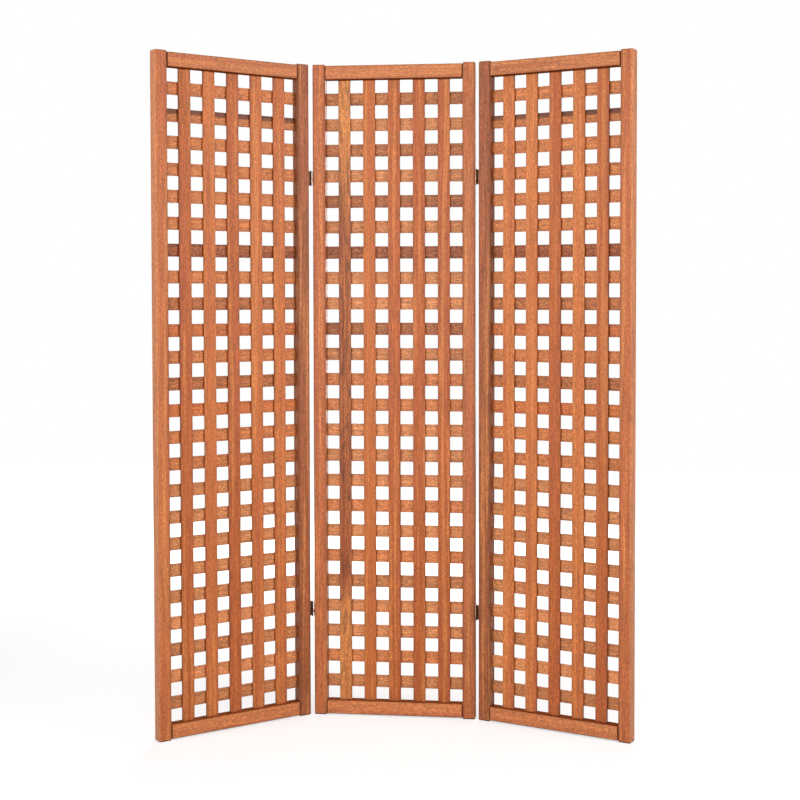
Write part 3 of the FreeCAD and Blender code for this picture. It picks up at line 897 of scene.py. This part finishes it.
def add_light(name, place, target, size, power):
    """A soft rectangular light that faces a point."""
    bpy.ops.object.select_all(action="DESELECT")
    bpy.ops.object.light_add(type="AREA", location=place)
    lamp = bpy.context.active_object
    lamp.name = name
    lamp.data.shape = "RECTANGLE"
    lamp.data.size, lamp.data.size_y = size
    lamp.data.energy = power
    lamp.rotation_euler = (Vector(target) - Vector(place)).to_track_quat("-Z", "Y").to_euler()


def around(azimuth_degrees, distance, height, centre):
    """A point round the screen: azimuth 0 is in front of it and 90 to its right."""
    azimuth = math.radians(azimuth_degrees)
    return (centre.x + distance * math.sin(azimuth), centre.y - distance * math.cos(azimuth), height)


def white_rays(sheet):
    """1 for the rays that show the background: those to the camera and in gloss and glass."""
    path = sheet.add("ShaderNodeLightPath").outputs
    seen = sheet.maths("MAXIMUM", path["Is Camera Ray"], path["Is Glossy Ray"])
    return sheet.maths("MAXIMUM", seen, path["Is Transmission Ray"])


def light_world(stage):
    """A white background over a weak light from all round."""
    world = bpy.data.worlds.new("studio")
    bpy.context.scene.world = world
    world.use_nodes = True
    world.node_tree.nodes.clear()
    sheet = NodeSheet(world.node_tree)
    level = sheet.span(white_rays(sheet), 0.0, 1.0, stage.surround, 1.0)
    background = sheet.add("ShaderNodeBackground")
    sheet.feed(background, "Color", WHITE)
    sheet.feed(background, "Strength", level)
    sheet.finish(background, "ShaderNodeOutputWorld")


FLOOR_SIZE = 12.0
FLOOR_GLOW = 0.55
FLOOR_FADE = (1.6, 3.2)


def lay_floor(stage):
    """A pale floor that shows the screen's shadow near it and is plain white further off."""
    bpy.ops.object.select_all(action="DESELECT")
    bpy.ops.mesh.primitive_plane_add(size=FLOOR_SIZE)
    floor = bpy.context.active_object
    floor.name = "floor"
    material, sheet = new_material("pale_floor")
    coordinates = sheet.add("ShaderNodeTexCoord").outputs["Object"]
    distance = sheet.add("ShaderNodeVectorMath", operation="LENGTH")
    sheet.feed(distance, 0, coordinates)
    far = sheet.span(distance.outputs["Value"], *FLOOR_FADE)
    seen = white_rays(sheet)
    glow = sheet.maths("MULTIPLY", seen, sheet.span(far, 0.0, 1.0, FLOOR_GLOW, 1.0))
    shader = sheet.add("ShaderNodeBsdfPrincipled")
    sheet.feed(shader, "Base Color", opaque(stage.floor_colour))
    sheet.feed(shader, "Roughness", 1.0)
    sheet.feed(shader, "Specular IOR Level", 0.0)
    sheet.feed(shader, "Emission Color", WHITE)
    sheet.feed(shader, "Emission Strength", glow)
    sheet.finish(shader)
    floor.data.materials.append(material)


def centre_foot():
    """The foot of the centre panel's front, in its middle."""
    left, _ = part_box("centre_panel_left_stile")
    _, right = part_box("centre_panel_right_stile")
    return Vector(((left.x + right.x) / 2.0, left.y, 0.0))


def place_camera(stage):
    """A camera at the photograph's viewing angle."""
    bpy.ops.object.select_all(action="DESELECT")
    bpy.ops.object.camera_add(location=centre_foot() + Vector(stage.camera_place))
    camera = bpy.context.active_object
    camera.rotation_euler = (math.pi / 2.0 - stage.camera_tilt, 0.0, stage.camera_turn)
    camera.data.lens = stage.lens
    camera.data.shift_x, camera.data.shift_y = stage.shift
    bpy.context.scene.camera = camera


LIGHT_DISTANCE = 3.4
LEFT_LIGHT_AZIMUTH = -50.0
RIGHT_LIGHT_AZIMUTH = 68.0
FRONT_LIGHT_AZIMUTH = 0.0
BACK_LIGHT_AZIMUTH = 180.0
SIDE_LIGHT_HEIGHT = 1.9
SIDE_LIGHT_SIZE = (1.4, 2.2)
FRONT_LIGHT_HEIGHT = 1.5
FRONT_LIGHT_SIZE = (2.5, 1.6)
BACK_LIGHT_HEIGHT = 1.5
BACK_LIGHT_SIZE = (3.0, 2.2)


class SCREEN_OT_set_stage(bpy.types.Operator):
    """Set the floor, the lights, the background and the camera"""

    bl_idname = "screen.set_stage"
    bl_label = "Set the stage"

    def execute(self, context):
        stage = context.scene.screen_stage
        low, high = CAD_BOX
        centre = (low + high) / 2.0
        for name, azimuth, height, size, power in (
            ("left_light", LEFT_LIGHT_AZIMUTH, SIDE_LIGHT_HEIGHT, SIDE_LIGHT_SIZE, stage.left_light),
            ("right_light", RIGHT_LIGHT_AZIMUTH, SIDE_LIGHT_HEIGHT, SIDE_LIGHT_SIZE, stage.right_light),
            ("front_light", FRONT_LIGHT_AZIMUTH, FRONT_LIGHT_HEIGHT, FRONT_LIGHT_SIZE, stage.front_light),
            ("back_light", BACK_LIGHT_AZIMUTH, BACK_LIGHT_HEIGHT, BACK_LIGHT_SIZE, stage.back_light),
        ):
            add_light(name, around(azimuth, LIGHT_DISTANCE, height, centre), centre, size, power)
        light_world(stage)
        lay_floor(stage)
        place_camera(stage)
        context.scene.view_settings.view_transform = "Standard"
        return {"FINISHED"}


STEPS = (
    SCREEN_OT_dress_stiles,
    SCREEN_OT_dress_rails,
    SCREEN_OT_dress_uprights,
    SCREEN_OT_dress_cross_slats,
    SCREEN_OT_dress_dowels,
    SCREEN_OT_ease_hinges,
    SCREEN_OT_set_stage,
)


class SCREEN_PT_panel(bpy.types.Panel):
    """Lists the steps that finish the screen"""

    bl_idname = "SCREEN_PT_panel"
    bl_label = "Folding screen"
    bl_space_type = "VIEW_3D"
    bl_region_type = "UI"
    bl_category = "Folding screen"

    def draw(self, context):
        layout = self.layout
        for step in STEPS:
            layout.operator(step.bl_idname)
        for title, settings in (
            ("Wood", context.scene.screen_wood),
            ("Hinges", context.scene.screen_hinges),
            ("Stage", context.scene.screen_stage),
        ):
            box = layout.box()
            box.label(text=title)
            for name in settings.__annotations__:
                box.prop(settings, name)


CLASSES = (ScreenWood, ScreenHinges, ScreenStage, *STEPS, SCREEN_PT_panel)


def register():
    for one_class in CLASSES:
        bpy.utils.register_class(one_class)
    bpy.types.Scene.screen_wood = PointerProperty(type=ScreenWood)
    bpy.types.Scene.screen_hinges = PointerProperty(type=ScreenHinges)
    bpy.types.Scene.screen_stage = PointerProperty(type=ScreenStage)


def unregister():
    del bpy.types.Scene.screen_stage
    del bpy.types.Scene.screen_hinges
    del bpy.types.Scene.screen_wood
    for one_class in reversed(CLASSES):
        bpy.utils.unregister_class(one_class)


def main():
    register()
    bpy.ops.screen.dress_stiles()
    bpy.ops.screen.dress_rails()
    bpy.ops.screen.dress_uprights()
    bpy.ops.screen.dress_cross_slats()
    bpy.ops.screen.dress_dowels()
    bpy.ops.screen.ease_hinges()
    bpy.ops.screen.set_stage()


if __name__ == "__main__":
    main()
